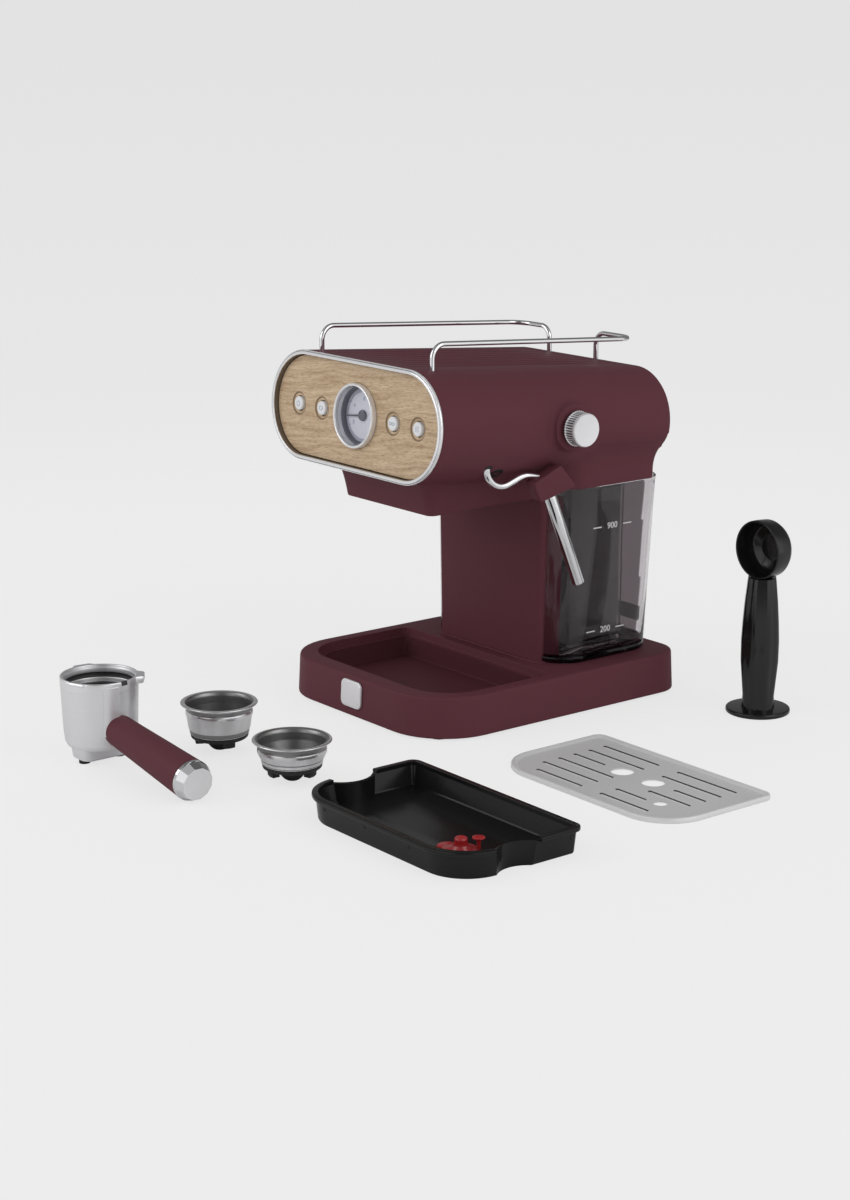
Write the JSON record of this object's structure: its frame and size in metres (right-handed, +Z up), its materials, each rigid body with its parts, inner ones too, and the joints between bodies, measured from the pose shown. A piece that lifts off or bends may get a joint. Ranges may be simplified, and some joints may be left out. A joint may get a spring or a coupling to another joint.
{
  "type": "espresso machine",
  "caption": "Compact pump espresso machine with stadium-shaped head, wood front panel, round gauge, cup rails, steam wand and rear tank, with its tray, portafilter, baskets and scoop laid out.",
  "frame": {"origin": "centre of the whole set's footprint, on the surface it stands on", "axes": "+X to the machine's right as seen by its user, +Y to its rear, +Z up; the front panel faces -Y"},
  "size_m": [0.4586, 0.5404, 0.3025],
  "materials": {
    "burgundy": "satin-matt burgundy",
    "black_plastic": "matt black",
    "black_gloss": "glossy black",
    "rubber": "matt black rubber",
    "chrome": "polished",
    "steel": "brushed stainless steel",
    "aluminium": "cast, satin",
    "brass": "machined",
    "wood": "light oak grain, matt",
    "silver": "silver, satin",
    "white_plastic": "satin white",
    "needle": "dark grey paint",
    "lens": "clear",
    "clear_plastic": "clear, lightly smoked",
    "silicone": "translucent hose",
    "circuit_board": "green board",
    "red_plastic": "glossy red"
  },
  "bodies": {
    "machine": {"badge_plate": "silver", "base_shell": "burgundy", "boiler": "aluminium", "bottom_plate": "black_plastic", "button_carrier": "black_plastic", "column_cover": "burgundy", "control_board": "circuit_board", "cord_gland": "rubber", "foot_front_left": "rubber", "foot_front_right": "rubber", "foot_rear_left": "rubber", "foot_rear_right": "rubber", "front_bezel": "chrome", "gauge_bezel": "chrome", "gauge_case": "chrome", "gauge_dial": "white_plastic", "gauge_lens": "lens", "group_gasket": "rubber", "group_head": "aluminium", "head_rear_cover": "burgundy", "head_shell": "burgundy", "pressure_hose": "silicone", "pump": "black_plastic", "rail_left": "chrome", "rail_right": "chrome", "screen_screw": "steel", "shower_screen": "steel", "steam_valve": "brass", "suction_hose": "silicone", "tank_socket": "rubber", "tower_core": "black_plastic", "wand_socket": "rubber", "warming_plate": "burgundy", "wood_panel": "wood"},
    "button_power": {"button_power": "white_plastic"},
    "button_single_cup": {"button_single_cup": "white_plastic"},
    "button_double_cup": {"button_double_cup": "white_plastic"},
    "button_steam": {"button_steam": "white_plastic"},
    "needle": {"gauge_needle": "needle"},
    "knob": {"steam_knob": "chrome", "steam_spindle": "steel"},
    "wand": {"steam_tube": "chrome", "wand_grip": "burgundy", "froth_sleeve": "steel"},
    "tank": {"tank_shell": "clear_plastic", "tank_valve": "white_plastic"},
    "tray": {"drip_tray": "black_gloss"},
    "float": {"tray_float": "red_plastic"},
    "grille": {"drip_grille": "steel"},
    "portafilter": {"portafilter_cup": "steel", "portafilter_handle": "burgundy", "handle_cap": "chrome", "spout_tip_front": "rubber", "spout_tip_rear": "rubber"},
    "large_filter": {"large_basket": "steel", "large_basket_base": "black_plastic"},
    "small_filter": {"small_basket": "steel", "small_basket_base": "black_plastic"},
    "scoop": {"coffee_scoop": "black_gloss"}
  },
  "joints": [
    {"name": "button_power_press", "type": "slide", "parent": "machine", "child": "button_power", "axis": [0, 0.9971, -0.0765], "range_m": [0, 0.0018], "stiffness_N_per_m": 400},
    {"name": "button_single_cup_press", "type": "slide", "parent": "machine", "child": "button_single_cup", "axis": [0, 0.9971, -0.0765], "range_m": [0, 0.0018], "stiffness_N_per_m": 400},
    {"name": "button_double_cup_press", "type": "slide", "parent": "machine", "child": "button_double_cup", "axis": [0, 0.9971, -0.0765], "range_m": [0, 0.0018], "stiffness_N_per_m": 400},
    {"name": "button_steam_press", "type": "slide", "parent": "machine", "child": "button_steam", "axis": [0, 0.9971, -0.0765], "range_m": [0, 0.0018], "stiffness_N_per_m": 400},
    {"name": "needle_turn", "type": "hinge", "parent": "machine", "child": "needle", "pos_m": [-0.11923, -0.01103, 0.24287], "axis": [0, 0.9971, -0.0765], "range_deg": [0, 180]},
    {"name": "knob_turn", "type": "hinge", "parent": "machine", "child": "knob", "pos_m": [-0.00123, 0.10825, 0.236], "axis": [1, 0, 0], "range_deg": [0, 270]},
    {"name": "wand_swing", "type": "hinge", "parent": "machine", "child": "wand", "pos_m": [-0.02293, 0.03475, 0.21], "axis": [0, 0, 1], "range_deg": [-110, 0]},
    {"name": "tank_slide", "type": "slide", "parent": "machine", "child": "tank", "axis": [0, 1, 0], "range_m": [0, 0.12]},
    {"name": "tray_lift", "type": "slide", "parent": "machine", "child": "tray", "axis": [0, 0, 1], "range_m": [0, 0.1]},
    {"name": "float_rise", "type": "slide", "parent": "tray", "child": "float", "axis": [0, 0, 1], "range_m": [0, 0.003]},
    {"name": "grille_lift", "type": "slide", "parent": "machine", "child": "grille", "axis": [0, 0, 1], "range_m": [0, 0.1]},
    {"name": "portafilter_lift", "type": "slide", "parent": "machine", "child": "portafilter", "axis": [0, 0, 1], "range_m": [0, 0.1]},
    {"name": "large_filter_lift", "type": "slide", "parent": "machine", "child": "large_filter", "axis": [0, 0, 1], "range_m": [0, 0.1]},
    {"name": "small_filter_lift", "type": "slide", "parent": "machine", "child": "small_filter", "axis": [0, 0, 1], "range_m": [0, 0.1]},
    {"name": "scoop_lift", "type": "slide", "parent": "machine", "child": "scoop", "axis": [0, 0, 1], "range_m": [0, 0.1]}
  ]
}
